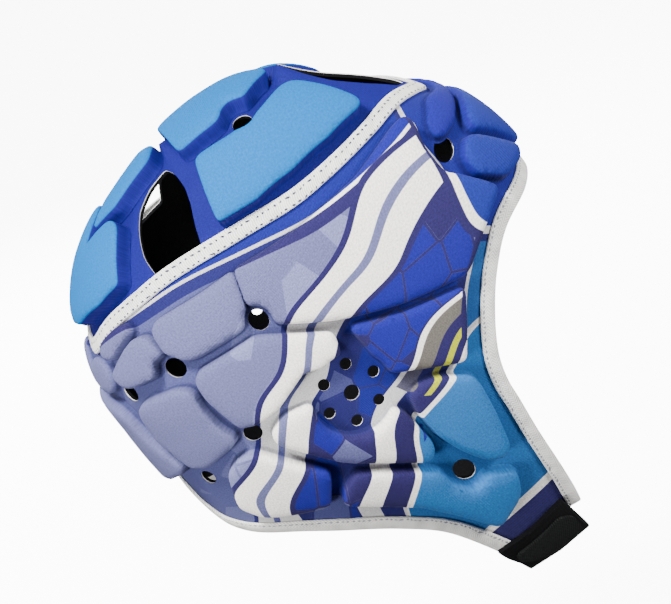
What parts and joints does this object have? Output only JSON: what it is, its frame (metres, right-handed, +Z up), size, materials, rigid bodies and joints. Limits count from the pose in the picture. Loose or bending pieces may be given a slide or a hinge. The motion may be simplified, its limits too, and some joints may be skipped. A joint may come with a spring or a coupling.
{
  "type": "rugby scrum cap",
  "caption": "Padded soft rugby cap in its worn shape, open face, foam pads over thin cloth, taped crown seam, vents, bound edges and a chin strap.",
  "frame": {"origin": "where the inside of the crown sits on the top of the head, on the middle line above the ears", "axes": "+Z up, away from the head; -Y towards the face; +X towards the wearer's left ear"},
  "size_m": [0.1746, 0.2348, 0.2864],
  "materials": {
    "royal_cloth": "matt knit",
    "lavender_cloth": "matt printed knit",
    "cyan_cloth": "matt printed knit",
    "navy_cloth": "matt printed knit",
    "crown_foam": "matt knit over foam",
    "white_tape": "matt woven tape",
    "black_webbing": "matt webbing"
  },
  "bodies": {
    "root": {"crown_panel": "royal_cloth", "side_panel_right": "lavender_cloth", "side_panel_left": "lavender_cloth", "crown_seam_tape": "white_tape", "face_binding": "white_tape", "neck_binding": "white_tape", "chin_strap": "black_webbing", "strap_tab_right": "black_webbing", "strap_tab_left": "black_webbing", "crown_pad_front": "crown_foam", "crown_pad_middle": "crown_foam", "crown_pad_rear": "crown_foam", "crown_pad_right": "crown_foam", "crown_pad_left": "crown_foam", "forehead_pad_top": "cyan_cloth", "forehead_pad_centre": "cyan_cloth", "nape_pad_upper": "lavender_cloth", "nape_pad_lower": "lavender_cloth", "brow_pad_right": "cyan_cloth", "brow_pad_left": "cyan_cloth", "cheekbone_pad_right": "cyan_cloth", "cheekbone_pad_left": "cyan_cloth", "cheek_pad_right": "cyan_cloth", "cheek_pad_left": "cyan_cloth", "jaw_pad_front_right": "cyan_cloth", "jaw_pad_front_left": "cyan_cloth", "ear_pad_right": "navy_cloth", "ear_pad_left": "navy_cloth", "jaw_pad_rear_right": "navy_cloth", "jaw_pad_rear_left": "navy_cloth", "temple_pad_right": "lavender_cloth", "temple_pad_left": "lavender_cloth", "side_pad_upper_right": "lavender_cloth", "side_pad_upper_left": "lavender_cloth", "side_pad_lower_right": "lavender_cloth", "side_pad_lower_left": "lavender_cloth", "back_pad_top_right": "lavender_cloth", "back_pad_top_left": "lavender_cloth", "back_pad_upper_right": "lavender_cloth", "back_pad_upper_left": "lavender_cloth", "back_pad_lower_right": "lavender_cloth", "back_pad_lower_left": "lavender_cloth"}
  },
  "joints": []
}
